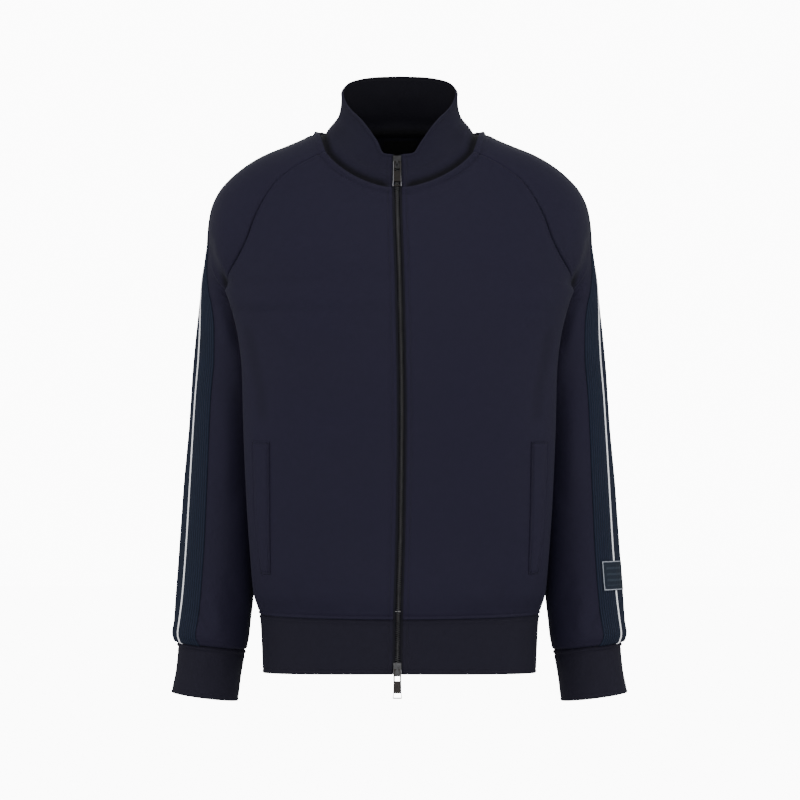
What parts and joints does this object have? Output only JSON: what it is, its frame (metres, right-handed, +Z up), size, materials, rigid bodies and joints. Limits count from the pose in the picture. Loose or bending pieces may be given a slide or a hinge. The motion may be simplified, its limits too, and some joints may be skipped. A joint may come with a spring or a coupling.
{
  "type": "stand-collar zip sweatshirt",
  "caption": "Raglan zip sweatshirt with a stand collar, ribbed side bands with white piping, filled out with nobody in it",
  "frame": {"origin": "the neck mount: the middle of the neck opening at the level of the high point of the shoulders", "axes": "+X is the wearer's left, -Y is the front, +Z is up"},
  "size_m": [0.5842, 0.264, 0.804],
  "materials": {
    "jersey": "dark ink-blue double-knit jersey, matt with a faint sheen",
    "rib_knit": "fine dark rib knit, matt",
    "side_band": "dark blue knit with lengthwise ribs",
    "piping": "white cord piping",
    "woven_patch": "dark woven patch with a thin pale border",
    "neck_label": "plain black woven label",
    "zip_tape": "dark woven zip tape",
    "zip_metal": "gunmetal zip chain, sliders and pulls"
  },
  "bodies": {
    "garment": {"front_left": "jersey", "front_right": "jersey", "back": "jersey", "sleeve_left": "jersey", "sleeve_right": "jersey", "sleeve_band_left": "side_band", "sleeve_band_right": "side_band", "piping_left": "piping", "piping_right": "piping", "sleeve_patch": "woven_patch", "cuff_left": "rib_knit", "cuff_right": "rib_knit", "hem_band": "rib_knit", "collar": "jersey", "pocket_welt_left": "jersey", "pocket_welt_right": "jersey", "zip_tape_left": "zip_tape", "zip_tape_right": "zip_tape", "zip_chain": "zip_metal", "zip_slider_top": "zip_metal", "zip_slider_bottom": "zip_metal", "neck_label": "neck_label"},
    "pull_top": {"zip_pull_top": "zip_metal"},
    "pull_bottom": {"zip_pull_bottom": "zip_metal"}
  },
  "joints": [
    {"name": "top_pull_hinge", "type": "hinge", "parent": "garment", "child": "pull_top", "pos_m": [-0.003, -0.07892, -0.042], "axis": [-1, 0, 0], "range_deg": [0, 150]},
    {"name": "bottom_pull_hinge", "type": "hinge", "parent": "garment", "child": "pull_bottom", "pos_m": [-0.00263, -0.11655, -0.68103], "axis": [-1, 0, 0], "range_deg": [0, 160]}
  ]
}
